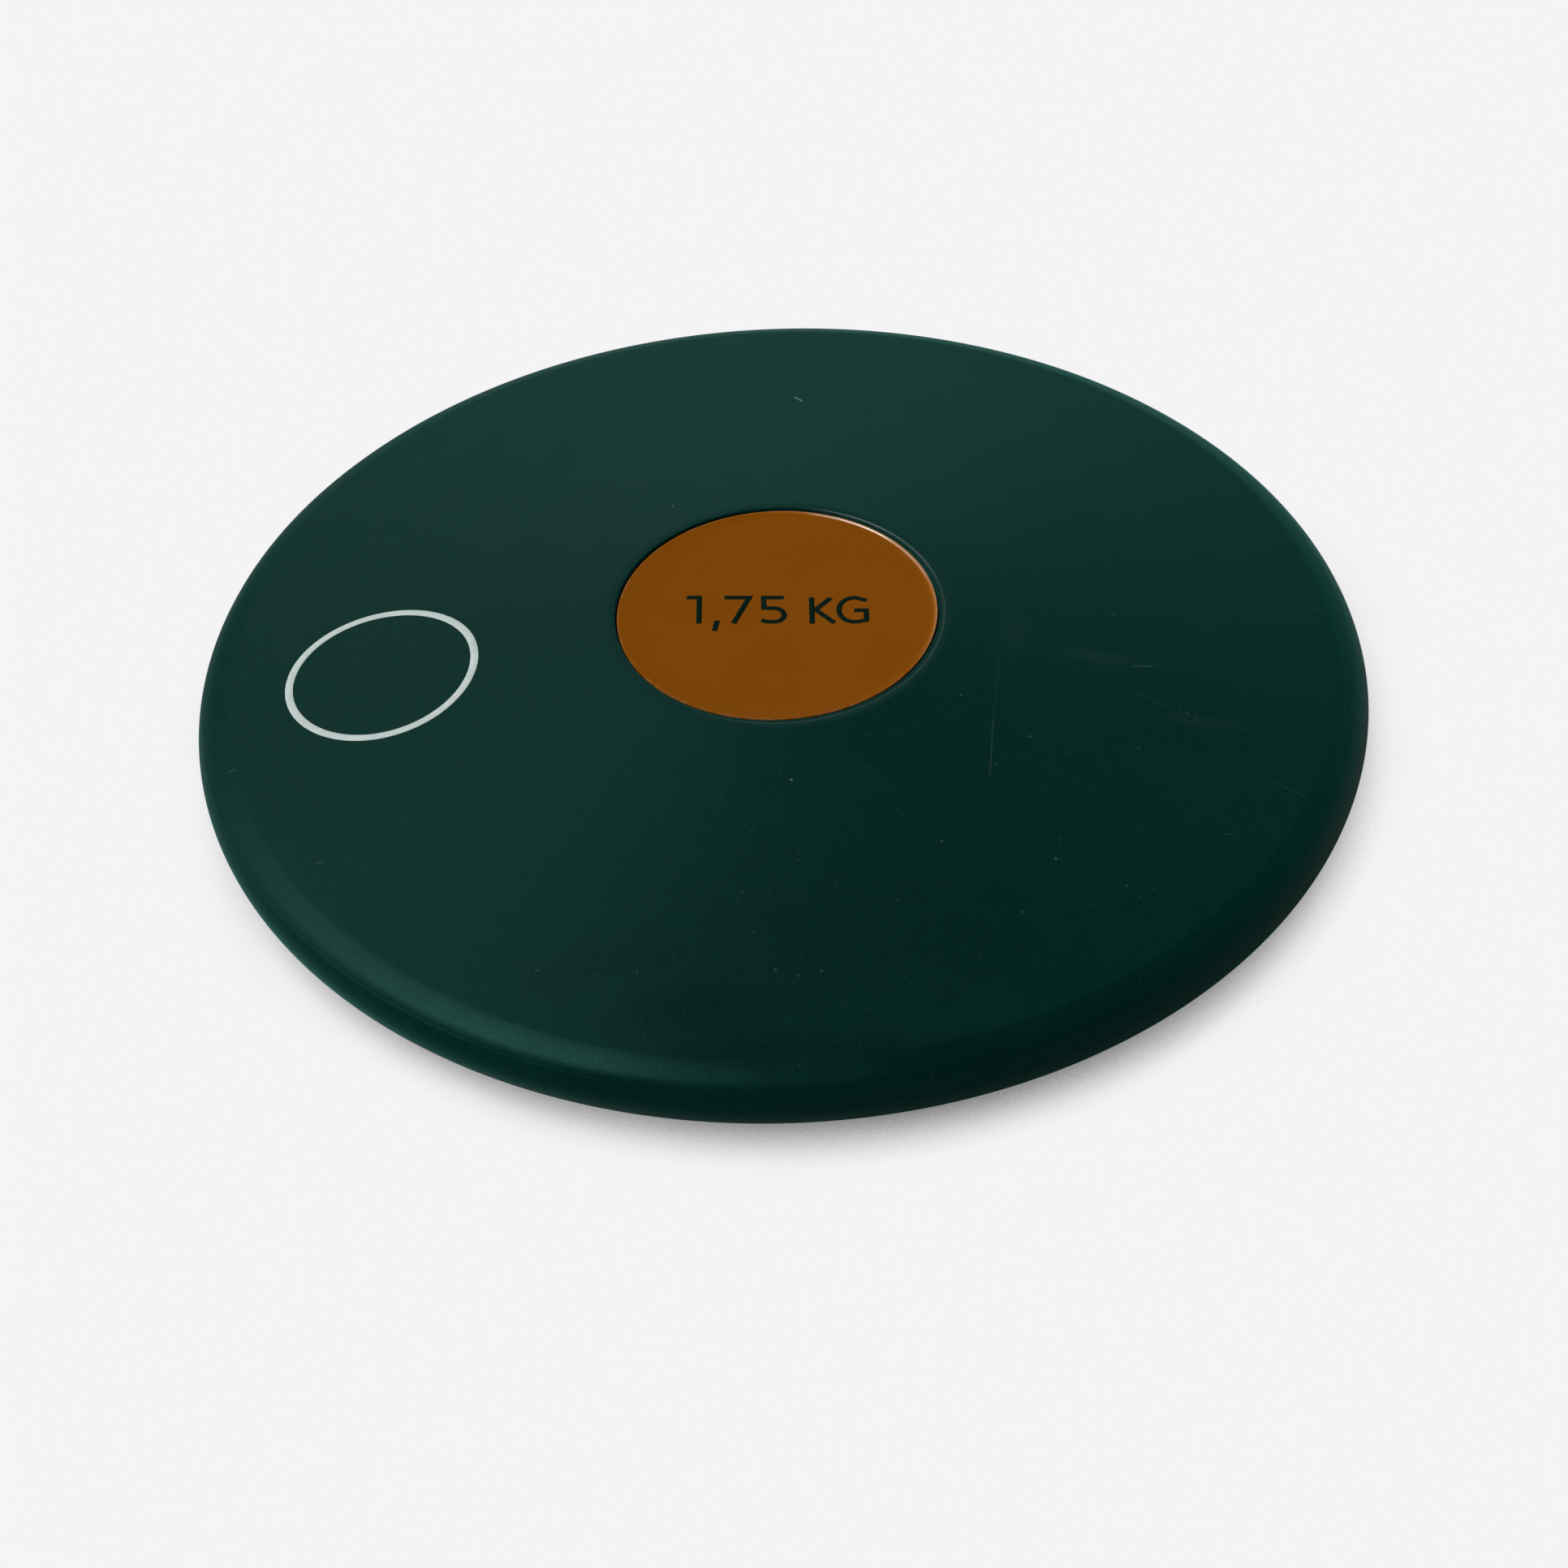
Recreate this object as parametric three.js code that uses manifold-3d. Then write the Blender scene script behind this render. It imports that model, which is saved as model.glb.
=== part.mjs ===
// A rubber training discus of the 1.75 kg class. A green rubber body is moulded round a turned
// steel core, and an orange inlay lies in a shallow pocket in the middle of each face.
// Millimetres. +Z is the axis of the discus, and the origin is the centre of the face it rests on.

import * as THREE from 'three';
import { mergeVertices, toCreasedNormals } from 'three/addons/utils/BufferGeometryUtils.js';
import Module from 'manifold-3d';

const wasm = await Module();
wasm.setup();

// Overall sizes
const DIAMETER = 211;
const THICKNESS = 42;

// Rim
const RIM_ROUND = 6;
const MOULD_LINE_RISE = 3.3;
const MOULD_LINE_WIDTH = 0.6;
const MOULD_LINE_HEIGHT = 0.06;

// Middle of each face, from the inlay outwards
const INLAY_RADIUS = 28.7;
const SEAT_GAP = 0.3;
const LEDGE_WIDTH = 0.45;
const LIP_ROUND = 0.25;
const REST_WIDTH = 0.6;
const CREST_ROUND = 5;

// Pocket, which the mould set a little off the axis
const POCKET_DEPTH = 2.3;
const POCKET_OFFSET_X = -0.25;
const POCKET_OFFSET_Y = 0.3;

// Inlay, a shallow dish bedded on a film of glue
const GLUE_FILM = 0.3;
const COVE_ROUND = 1.35;
const COVE_SWEEP = THREE.MathUtils.degToRad(42);
const INLAY_RIM_WIDTH = 0.4;
const INLAY_EDGE_ROUND = 0.15;
const INLAY_CHAMFER = 0.4;

// Core, a disc with a spigot on each face by which the mould held it
const CORE_RADIUS = 44;
const CORE_THICKNESS = 14;
const CORE_CHAMFER = 1.5;
const SPIGOT_RADIUS = 12;
const SPIGOT_CHAMFER = 0.8;

const CUT_OVERRUN = 1;

// Facets round the axis, and along each kind of arc
const BODY_SEGMENTS = 96;
const INLAY_SEGMENTS = 72;
const CORE_SEGMENTS = 72;
const RIM_STEP_ANGLE = THREE.MathUtils.degToRad(9);
const MOULD_LINE_STEPS = 2;
const CREST_STEPS = 2;
const LIP_STEPS = 3;
const COVE_STEPS = 6;
const EDGE_STEPS = 2;
const CREASE_ANGLE = THREE.MathUtils.degToRad(30);

// Sizes that follow from those above. Heights are counted from the middle plane.
const half_thickness = THICKNESS / 2;
const ledge_height = half_thickness - LIP_ROUND;
const pocket_radius = INLAY_RADIUS + SEAT_GAP;
const pocket_floor = ledge_height - POCKET_DEPTH;
const lip_radius = pocket_radius + LEDGE_WIDTH;
const rest_edge = lip_radius + LIP_ROUND + REST_WIDTH;
const crest_height = half_thickness - CREST_ROUND;
const rim_centre = DIAMETER / 2 - RIM_ROUND;
const bore_radius = SPIGOT_RADIUS + SEAT_GAP;
const cavity_radius = CORE_RADIUS + SEAT_GAP;
const cavity_height = CORE_THICKNESS / 2 + SEAT_GAP;

const GREEN_RUBBER = new THREE.MeshStandardMaterial({ color: 0x123029, roughness: 0.55, metalness: 0 });
const ORANGE_INLAY = new THREE.MeshStandardMaterial({ color: 0x7a4308, roughness: 0.5, metalness: 0 });
const TURNED_STEEL = new THREE.MeshStandardMaterial({ color: 0x8c8f92, roughness: 0.4, metalness: 1 });

// A point of an outline, at a distance from the axis and a height.
function at(radius, height) {
  return new THREE.Vector2(radius, height);
}

// Even values from one to another, both of them included.
function spread(from, to, steps) {
  return Array.from({ length: steps + 1 }, (_, i) => from + ((to - from) * i) / steps);
}

// Points along a round. Angles are counted from straight outwards, towards +Z.
function arc(centre, round, from, to, steps) {
  return spread(from, to, steps).map((angle) => (
    at(centre.x + round * Math.cos(angle), centre.y + round * Math.sin(angle))
  ));
}

function rim_steps(angle) {
  return Math.ceil(angle / RIM_STEP_ANGLE);
}

// The same outline on the other side of the middle plane, followed backwards.
function mirrored(points) {
  return points.map((point) => at(point.x, -point.y)).reverse();
}

// Direction of the normal that a straight line shares with two rounds that it touches.
function shared_normal(centre_a, round_a, centre_b, round_b) {
  const step = centre_b.clone().sub(centre_a);
  return Math.atan2(step.y, step.x) + Math.acos((round_a - round_b) / step.length());
}

// Turns a closed outline about +Z. The outline runs outwards from its top, and then down.
function revolved(outline, segments) {
  const lathe = new THREE.LatheGeometry([...outline, outline[0]].reverse(), segments);
  lathe.rotateX(Math.PI / 2);
  return solid_of(lathe);
}

// Merges a geometry down to shared corners, and drops the triangles that this leaves with no area.
function solid_of(geometry) {
  const bare = geometry.clone();
  bare.deleteAttribute('normal');
  bare.deleteAttribute('uv');
  const merged = mergeVertices(bare);
  const corners = merged.index.array;
  const kept = [];
  for (let i = 0; i < corners.length; i += 3) {
    const [a, b, c] = corners.subarray(i, i + 3);
    if (a !== b && b !== c && c !== a) kept.push(a, b, c);
  }
  return new wasm.Manifold(new wasm.Mesh({
    numProp: 3,
    vertProperties: merged.attributes.position.array,
    triVerts: new Uint32Array(kept),
  }));
}

function mesh_of(solid, name, material) {
  const { vertProperties, triVerts } = solid.getMesh();
  const geometry = new THREE.BufferGeometry();
  geometry.setAttribute('position', new THREE.BufferAttribute(vertProperties, 3));
  geometry.setIndex(new THREE.BufferAttribute(triVerts, 1));
  const mesh = new THREE.Mesh(toCreasedNormals(geometry, CREASE_ANGLE), material);
  mesh.name = name;
  return mesh;
}

// From the ledge round the pocket, over the lip and the flat that it rests on, to where the
// straight face begins.
function face_outline(face_normal) {
  const lip = arc(at(lip_radius + LIP_ROUND, ledge_height), LIP_ROUND, Math.PI, Math.PI / 2, LIP_STEPS);
  const crest = arc(at(rest_edge, crest_height), CREST_ROUND, Math.PI / 2, face_normal, CREST_STEPS);
  return [...lip, ...crest];
}

// How far the rim's round bulges where the mould closed, at an angle from the middle of that line.
function mould_line_bulge(angle) {
  const across = (angle * RIM_ROUND) / MOULD_LINE_WIDTH;
  return Math.abs(across) < 1 / 2 ? MOULD_LINE_HEIGHT * Math.cos(Math.PI * across) ** 2 : 0;
}

// The rounded rim from one face to the other, through the mould line and the widest point.
function rim_outline(face_normal) {
  const line_angle = Math.asin(MOULD_LINE_RISE / RIM_ROUND);
  const line_reach = MOULD_LINE_WIDTH / 2 / RIM_ROUND;
  const angles = [
    ...spread(face_normal, line_angle + line_reach, rim_steps(face_normal - line_angle)),
    ...spread(line_angle + line_reach / 2, line_angle - line_reach / 2, MOULD_LINE_STEPS),
    ...spread(line_angle - line_reach, 0, rim_steps(line_angle)),
    ...spread(0, -face_normal, rim_steps(face_normal)).slice(1),
  ];
  return angles.map((angle) => {
    const radius = RIM_ROUND + mould_line_bulge(angle - line_angle);
    return at(rim_centre + radius * Math.cos(angle), radius * Math.sin(angle));
  });
}

// The inside of the rubber, where it wraps the core and its spigots.
function cavity_outline() {
  const upper = [
    at(cavity_radius, cavity_height - CORE_CHAMFER),
    at(cavity_radius - CORE_CHAMFER, cavity_height),
    at(bore_radius, cavity_height),
    at(bore_radius, ledge_height),
  ];
  return [...mirrored(upper), ...upper];
}

function pocket() {
  const top = ledge_height + CUT_OVERRUN;
  const outline = [at(0, top), at(pocket_radius, top), at(pocket_radius, pocket_floor), at(0, pocket_floor)];
  return revolved(outline, INLAY_SEGMENTS).translate(POCKET_OFFSET_X, POCKET_OFFSET_Y, 0);
}

function rubber_body() {
  const face_normal = shared_normal(at(rest_edge, crest_height), CREST_ROUND, at(rim_centre, 0), RIM_ROUND);
  const face = face_outline(face_normal);
  const outline = [...face, ...rim_outline(face_normal), ...mirrored(face), ...cavity_outline()];
  const upper_pocket = pocket();
  const lower_pocket = upper_pocket.mirror([0, 0, 1]);
  const body = revolved(outline, BODY_SEGMENTS).subtract(upper_pocket).subtract(lower_pocket);
  return mesh_of(body, 'rubber_body', GREEN_RUBBER);
}

function steel_core() {
  const disc_top = CORE_THICKNESS / 2;
  const upper = [
    at(0, pocket_floor),
    at(SPIGOT_RADIUS - SPIGOT_CHAMFER, pocket_floor),
    at(SPIGOT_RADIUS, pocket_floor - SPIGOT_CHAMFER),
    at(SPIGOT_RADIUS, disc_top),
    at(CORE_RADIUS - CORE_CHAMFER, disc_top),
    at(CORE_RADIUS, disc_top - CORE_CHAMFER),
  ];
  return mesh_of(revolved([...upper, ...mirrored(upper)], CORE_SEGMENTS), 'steel_core', TURNED_STEEL);
}

// The inlay's outline, with its underside on the glue film and its rim level with the ledge. The
// dish curves up to the rim in a cove that stays open, so it ends in a slope and not in a wall.
function inlay_outline() {
  const under = pocket_floor + GLUE_FILM;
  const dish_edge = INLAY_RADIUS - INLAY_RIM_WIDTH - COVE_ROUND * Math.sin(COVE_SWEEP);
  const cove_centre = at(dish_edge, ledge_height + COVE_ROUND * Math.cos(COVE_SWEEP));
  const cove = arc(cove_centre, COVE_ROUND, -Math.PI / 2, COVE_SWEEP - Math.PI / 2, COVE_STEPS);
  const edge_centre = at(INLAY_RADIUS - INLAY_EDGE_ROUND, ledge_height - INLAY_EDGE_ROUND);
  const edge = arc(edge_centre, INLAY_EDGE_ROUND, Math.PI / 2, 0, EDGE_STEPS);
  return [
    at(0, cove_centre.y - COVE_ROUND),
    ...cove,
    ...edge,
    at(INLAY_RADIUS, under + INLAY_CHAMFER),
    at(INLAY_RADIUS - INLAY_CHAMFER, under),
    at(0, under),
  ];
}

function inlay() {
  return revolved(inlay_outline(), INLAY_SEGMENTS).translate(POCKET_OFFSET_X, POCKET_OFFSET_Y, 0);
}

const upper_inlay = mesh_of(inlay(), 'upper_inlay', ORANGE_INLAY);
const lower_inlay = mesh_of(inlay().mirror([0, 0, 1]), 'lower_inlay', ORANGE_INLAY);

const discus = new THREE.Group();
discus.add(rubber_body(), steel_core(), upper_inlay, lower_inlay);
discus.position.z = half_thickness;

export default discus;
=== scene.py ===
"""Looks of the rubber training discus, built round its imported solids. Metres, +Z up."""

import math

import bpy
import numpy as np
from mathutils import Matrix, Vector


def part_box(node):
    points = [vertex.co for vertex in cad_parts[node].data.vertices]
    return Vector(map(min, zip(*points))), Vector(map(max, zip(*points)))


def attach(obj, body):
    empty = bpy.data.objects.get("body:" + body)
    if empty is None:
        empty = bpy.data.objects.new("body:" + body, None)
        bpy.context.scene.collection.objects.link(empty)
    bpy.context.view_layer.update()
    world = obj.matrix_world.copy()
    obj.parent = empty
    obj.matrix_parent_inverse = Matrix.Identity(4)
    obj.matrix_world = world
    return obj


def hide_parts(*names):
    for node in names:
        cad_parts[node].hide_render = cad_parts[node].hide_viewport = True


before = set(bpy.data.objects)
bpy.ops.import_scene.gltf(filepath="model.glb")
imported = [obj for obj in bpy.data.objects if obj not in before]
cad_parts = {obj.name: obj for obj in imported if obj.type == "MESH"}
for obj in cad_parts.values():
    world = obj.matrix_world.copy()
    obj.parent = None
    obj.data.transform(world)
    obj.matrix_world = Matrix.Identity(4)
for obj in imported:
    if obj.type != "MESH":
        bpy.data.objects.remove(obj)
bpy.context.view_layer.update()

MM = 0.001
QUARTER = math.pi / 2
TOLERANCE = 0.01 * MM


def measured(node):
    """Of a turned CAD node: its middle in plan, its radius, and its lowest and highest level
    over the floor, rounded to a thousandth of a millimetre, because the frame keeps single
    precision."""
    low, high = (np.round(np.array(corner) / MM, 3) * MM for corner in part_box(node))
    middle, reach = ((low + high) / 2).tolist(), ((high - low) / 2).tolist()
    return (middle[0], middle[1]), reach[0], float(low[2]), float(high[2])


# Sizes read from the frame, and the heights that follow from them, which are counted from the
# middle plane of the discus, as all later ones are
_, BODY_RADIUS, _, THICKNESS = measured("rubber_body")
_, CORE_RADIUS, _, CORE_TOP = measured("steel_core")
POCKET_OFFSET, INLAY_RADIUS, INLAY_FOOT, INLAY_TOP = measured("upper_inlay")
HALF_THICKNESS = THICKNESS / 2
POCKET_FLOOR = CORE_TOP - HALF_THICKNESS
INLAY_UNDERSIDE = INLAY_FOOT - HALF_THICKNESS
LEDGE_HEIGHT = INLAY_TOP - HALF_THICKNESS

# Sizes of the moulded body. The rim's round rises a little less than it reaches out.
SEAT_GAP = 0.3 * MM
RIM_ROUND = 6 * MM
RIM_RISE = 5.85 * MM
LEDGE_WIDTH = 0.45 * MM
LIP_ROUND = 0.25 * MM
REST_WIDTH = 0.6 * MM
CREST_ROUND = 5 * MM
SPIGOT_RADIUS = 12 * MM
CORE_HALF_THICKNESS = 7 * MM
CORNER_ROUND = 0.3 * MM
RIM_CENTRE = BODY_RADIUS - RIM_ROUND
POCKET_RADIUS = INLAY_RADIUS + SEAT_GAP
LIP_RADIUS = POCKET_RADIUS + LEDGE_WIDTH
REST_EDGE = LIP_RADIUS + LIP_ROUND + REST_WIDTH
BORE_RADIUS = SPIGOT_RADIUS + SEAT_GAP
CAVITY_RADIUS = CORE_RADIUS + SEAT_GAP
CAVITY_HEIGHT = CORE_HALF_THICKNESS + SEAT_GAP

# The mould line above the middle of the rim, full on one side and fading to a share of itself
MOULD_LINE_RISE = 3.3 * MM
MOULD_LINE_WIDTH = 0.6 * MM
MOULD_LINE_HEIGHT = 0.06 * MM
MOULD_LINE_LEAST = 0.15
MOULD_LINE_SIDE = math.radians(185)

# Shoulder between the straight face and the rim's round: distance in from the widest point in
# millimetres, and lean of the surface in degrees
SHOULDER = [
    (6.1, 12.0), (5.8, 19.0), (5.3, 24.0), (4.6, 26.5),
    (3.7, 28.5), (2.9, 31.5), (2.5, 34.5), (2.25, 38.0),
]

# Sizes of an inlay. Opposite its side the cove is drawn out to some times its own width.
INLAY_CHAMFER = 0.4 * MM
INLAY_EDGE_ROUND = 0.15 * MM
INLAY_RIM_WIDTH = 0.4 * MM
COVE_ROUND = 1.35 * MM
COVE_SWEEP = math.radians(42)
COVE_DRAWN_OUT = 9
COVE_SIDE = math.radians(20)
DISH_FLOOR = LEDGE_HEIGHT - COVE_ROUND * (1 - math.cos(COVE_SWEEP))
DISH_MIDDLE = 1 * MM

# Print on the inlay and on the body
MARK_ORIGIN = (-14.45 * MM, -1.15 * MM)
MARK_NARROWED = 0.984
MARK_TURN = math.radians(-4.0)
MARK_LEAN = 0.035
MARK_MIDDLE = 3.5 * MM
MARK_STROKE = 0.95 * MM
MARK_HEIGHT = 0.08 * MM
MARK_STEP_DOWN = MARK_HEIGHT / 40
OVAL_CENTRE = (-71.6 * MM, -1.6 * MM)
OVAL_RADII = (17.0 * MM, 16.3 * MM)
OVAL_TURN = math.radians(159)
OVAL_BAND = 1.42 * MM
OVAL_HEIGHT = 0.04 * MM
INK_EDGE = 0.02 * MM
INK_SINK = 0.01 * MM

# Steps round the axis, and along each stretch of an outline
BODY_TURNS = 384
INLAY_TURNS = 288
OVAL_STEPS = 240
FLAT_STEPS = 6
CORNER_STEPS = 4
LEDGE_STEPS = 3
LIP_STEPS = 8
CREST_STEPS = 6
FACE_STEPS = 14
SHOULDER_STEPS = 35
RIM_STEPS = 48
MOULD_LINE_STEPS = 12
DISH_STEPS = 12
COVE_STEPS = 12
EDGE_STEPS = 6

# The camera, measured from the middle of the discus
CAMERA_DISTANCE = 1.2
CAMERA_ELEVATION = math.radians(41.21)
CAMERA_ROLL = math.radians(2.57)
CAMERA_LENS = 152.5
AIM_RIGHT = 0.25 * MM
AIM_DOWN = 14.9 * MM
CAMERA_NEAR = 0.05
CAMERA_FAR = 50

# Colours, linear
RUBBER_GREEN = (0.0001, 0.0134, 0.0108)
RUBBER_DARK = (0.0, 0.0020, 0.0017)
RUBBER_GLOSS = (0.29, 1.0, 0.82, 1.0)
RUBBER_BLOOM = (0.03, 1.0, 0.80, 1.0)
INLAY_ORANGE = (0.190, 0.0560, 0.0010)
INLAY_GLOSS = (1.0, 0.35, 0.1, 1.0)
# Pale orange of the painted highlight in the cove
INLAY_HIGHLIGHT = (0.42, 0.17, 0.03)
MARK_GREEN = (0.0004, 0.0070, 0.0035)
OVAL_WHITE = (0.50, 0.567, 0.543)
OVAL_THIN = (0.10, 0.17, 0.15)
DUST_GREY = (0.20, 0.27, 0.25)
INLAY_DUST = (0.55, 0.42, 0.28)
STEEL_GREY = (0.55, 0.555, 0.56)
STEEL_WORN = (0.75, 0.75, 0.76)
BACKGROUND = (0.905, 0.905, 0.905)

# Lamps: which way they stand (0 to the right, 90 to the back), how high, how wide, how strong
LAMPS = {
    "key_low": (165, 30, 40, 0.65),
    "key_front": (195, 50, 30, 0.62),
    "key_high": (205, 62, 30, 1.07),
    "key_back": (150, 56, 40, 0.81),
    "key_core": (182, 48, 16, 0.46),
    "fill": (98, 37, 49, 0.31),
}

# Light from the skyline, and the floor that it and the lamps fall on
SKYLINE = 0.45
SKYLINE_FADE = math.radians(12.5)
SKYLINE_SIDE = (0.59, -0.81, 0)
FLOOR_BOUNCE = 0.28
FLOOR_HALF_WIDTH = 6.0

# The floor's shadow: how far it looks for what covers it and which way, the shares of open sky
# between which it pales from its own tone to the background, and how many rays it sends
SHADOW_REACH = 50 * MM
SHADOW_TILT = (-0.096, -0.765, 0.637)
SHADOW_RANGE = (0.521, 0.749)
SHADOW_TONE = (0.12, 0.12, 0.12)
SHADOW_RAYS = 16


# Meshes

def skinned(grid, loop):
    """Corners and faces of a closed skin over a grid of points, rows by columns.

    Columns close on themselves. Rows do as well if loop is set, or else each end row is
    closed by a fan to its mean point. Rows run outwards from the top, or along a path, and
    columns run anticlockwise seen from there, so that row step x column step points outwards.
    """
    rows, columns = grid.shape[:2]
    index = np.arange(rows * columns).reshape(rows, columns)
    beside = np.roll(index, -1, axis=1)
    below = np.roll(index, -1, axis=0)
    across = np.roll(beside, -1, axis=0)
    quads = np.stack([index, below, across, beside], axis=-1)
    corners = grid.reshape(-1, 3)
    if loop:
        return corners, quads.reshape(-1, 4), np.zeros((0, 3), int)
    first, last = rows * columns, rows * columns + 1
    corners = np.vstack([corners, grid[0].mean(axis=0), grid[-1].mean(axis=0)])
    start = np.stack([np.full(columns, first), index[0], beside[0]], axis=-1)
    end = np.stack([np.full(columns, last), beside[-1], index[-1]], axis=-1)
    return corners, quads[:-1].reshape(-1, 4), np.vstack([start, end])


def placed(name, data):
    """An object of a mesh, a lamp or a camera, in the scene."""
    made = bpy.data.objects.new(name, data)
    bpy.context.scene.collection.objects.link(made)
    return made


def piece(name, skins, material, sharp=35):
    """One mesh object from a list of skins, shaded smooth except where faces meet more sharply
    than an angle in degrees."""
    corners, faces, before = [], [], 0
    for points, quads, triangles in skins:
        corners.append(points)
        faces += (quads + before).tolist() + (triangles + before).tolist()
        before += len(points)
    mesh = bpy.data.meshes.new(name)
    mesh.from_pydata(np.vstack(corners), [], faces)
    mesh.polygons.foreach_set("use_smooth", np.ones(len(faces), bool))
    mesh.set_sharp_from_angle(angle=math.radians(sharp))
    mesh.materials.append(material)
    return placed(name, mesh)


def run(start, stop, steps):
    """Points of a straight line: start plus an even share of the way to stop, stop left out."""
    share = np.arange(steps)[:, None] / steps
    return np.array(start) + share * (np.array(stop) - np.array(start))


def arc(centre, out, up, start, stop, steps):
    """Points on an ellipse: centre plus each half axis times the cosine or sine of the angle."""
    angle = np.linspace(start, stop, steps + 1)
    return np.stack([centre[0] + out * np.cos(angle), centre[1] + up * np.sin(angle)], axis=-1)


def shared_normal(centre_a, round_a, centre_b, round_b):
    """Angle of the normal of a line that touches two rounds: the direction between their
    centres plus the arc cosine of their difference in radius over that distance."""
    across, rise = centre_b[0] - centre_a[0], centre_b[1] - centre_a[1]
    return math.atan2(rise, across) + math.acos((round_a - round_b) / math.hypot(across, rise))


CREST_CENTRE = (REST_EDGE, HALF_THICKNESS - CREST_ROUND)
FACE_NORMAL = shared_normal(CREST_CENTRE, CREST_ROUND, (RIM_CENTRE, 0), RIM_ROUND)


def shoulder_angle():
    """Angle on the rim's round, from straight outwards, at which the shoulder meets it."""
    return math.acos((BODY_RADIUS - SHOULDER[-1][0] * MM - RIM_CENTRE) / RIM_ROUND)


def shoulder_profile():
    """The shoulder, from the face outwards. Each step falls by its width times the tangent of
    its lean, and the last point lies on the rim's round."""
    inset, leans = np.array(SHOULDER).T
    knots = BODY_RADIUS - inset * MM
    radius = np.linspace(knots[0], knots[-1], SHOULDER_STEPS + 1)
    lean = np.radians(np.interp(radius, knots, leans))
    fall = np.tan((lean[1:] + lean[:-1]) / 2) * np.diff(radius)
    foot = RIM_RISE * math.sin(shoulder_angle())
    height = foot + np.append(np.cumsum(fall[::-1])[::-1], 0)
    return np.stack([radius, height], axis=-1)


def face_height(radius):
    """Height of the straight face over the middle plane, between the crest and the shoulder."""
    crest = (CREST_CENTRE[0] + CREST_ROUND * math.cos(FACE_NORMAL),
             CREST_CENTRE[1] + CREST_ROUND * math.sin(FACE_NORMAL))
    shoulder = shoulder_profile()[0]
    share = (radius - crest[0]) / (shoulder[0] - crest[0])
    return crest[1] + share * (shoulder[1] - crest[1])


def rim_profile(bulging):
    """The rim's round between the shoulders, an ellipse, with a cosine squared bulge across
    the mould line added to both of its half axes, times a share for each turn."""
    line = math.asin(MOULD_LINE_RISE / RIM_RISE)
    reach = MOULD_LINE_WIDTH / RIM_ROUND
    angle = np.unique(np.concatenate([
        np.linspace(-shoulder_angle(), shoulder_angle(), RIM_STEPS + 1)[1:-1],
        line + reach * np.linspace(-0.5, 0.5, MOULD_LINE_STEPS + 1),
    ]))[::-1]
    across = (angle - line) / reach
    bulge = MOULD_LINE_HEIGHT * np.cos(np.pi * across) ** 2 * (np.abs(across) < 0.5)
    bulge = bulge[:, None] * bulging
    return np.stack([
        RIM_CENTRE + (RIM_ROUND + bulge) * np.cos(angle)[:, None],
        (RIM_RISE + bulge) * np.sin(angle)[:, None],
    ], axis=-1)


def face_profile():
    """Pocket wall, ledge, lip, rest ring, crest, straight face and shoulder, from the middle out."""
    inner = (POCKET_RADIUS - CORNER_ROUND, POCKET_FLOOR + CORNER_ROUND)
    lip = (LIP_RADIUS + LIP_ROUND, LEDGE_HEIGHT)
    crest = arc(CREST_CENTRE, CREST_ROUND, CREST_ROUND, QUARTER, FACE_NORMAL, CREST_STEPS)
    shoulder = shoulder_profile()
    return np.vstack([
        run((BORE_RADIUS, POCKET_FLOOR), (inner[0], POCKET_FLOOR), FLAT_STEPS),
        arc(inner, CORNER_ROUND, CORNER_ROUND, -QUARTER, 0, CORNER_STEPS),
        run((POCKET_RADIUS, inner[1]), (POCKET_RADIUS, LEDGE_HEIGHT), CORNER_STEPS)[1:],
        run((POCKET_RADIUS, LEDGE_HEIGHT), (LIP_RADIUS, LEDGE_HEIGHT), LEDGE_STEPS),
        arc(lip, LIP_ROUND, LIP_ROUND, 2 * QUARTER, QUARTER, LIP_STEPS),
        crest,
        run(crest[-1], shoulder[0], FACE_STEPS)[1:],
        shoulder,
    ])


def same_all_round(profile, turn):
    """A profile repeated for each turn, as rows of points by columns of turns."""
    return np.repeat(profile[:, None], len(turn), axis=1)


def turned(name, radius, height, shift, loop, material):
    """Distance and height turned about the axis, a column for each turn: a point is the distance
    times the cosine and sine of its turn. Each row is moved by its share of the pocket's offset."""
    turn = np.linspace(0, 2 * np.pi, radius.shape[1], endpoint=False)
    grid = np.stack([
        radius * np.cos(turn) + shift[:, None] * POCKET_OFFSET[0],
        radius * np.sin(turn) + shift[:, None] * POCKET_OFFSET[1],
        height + HALF_THICKNESS,
    ], axis=-1)
    return piece(name, [skinned(grid, loop)], material)


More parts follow.
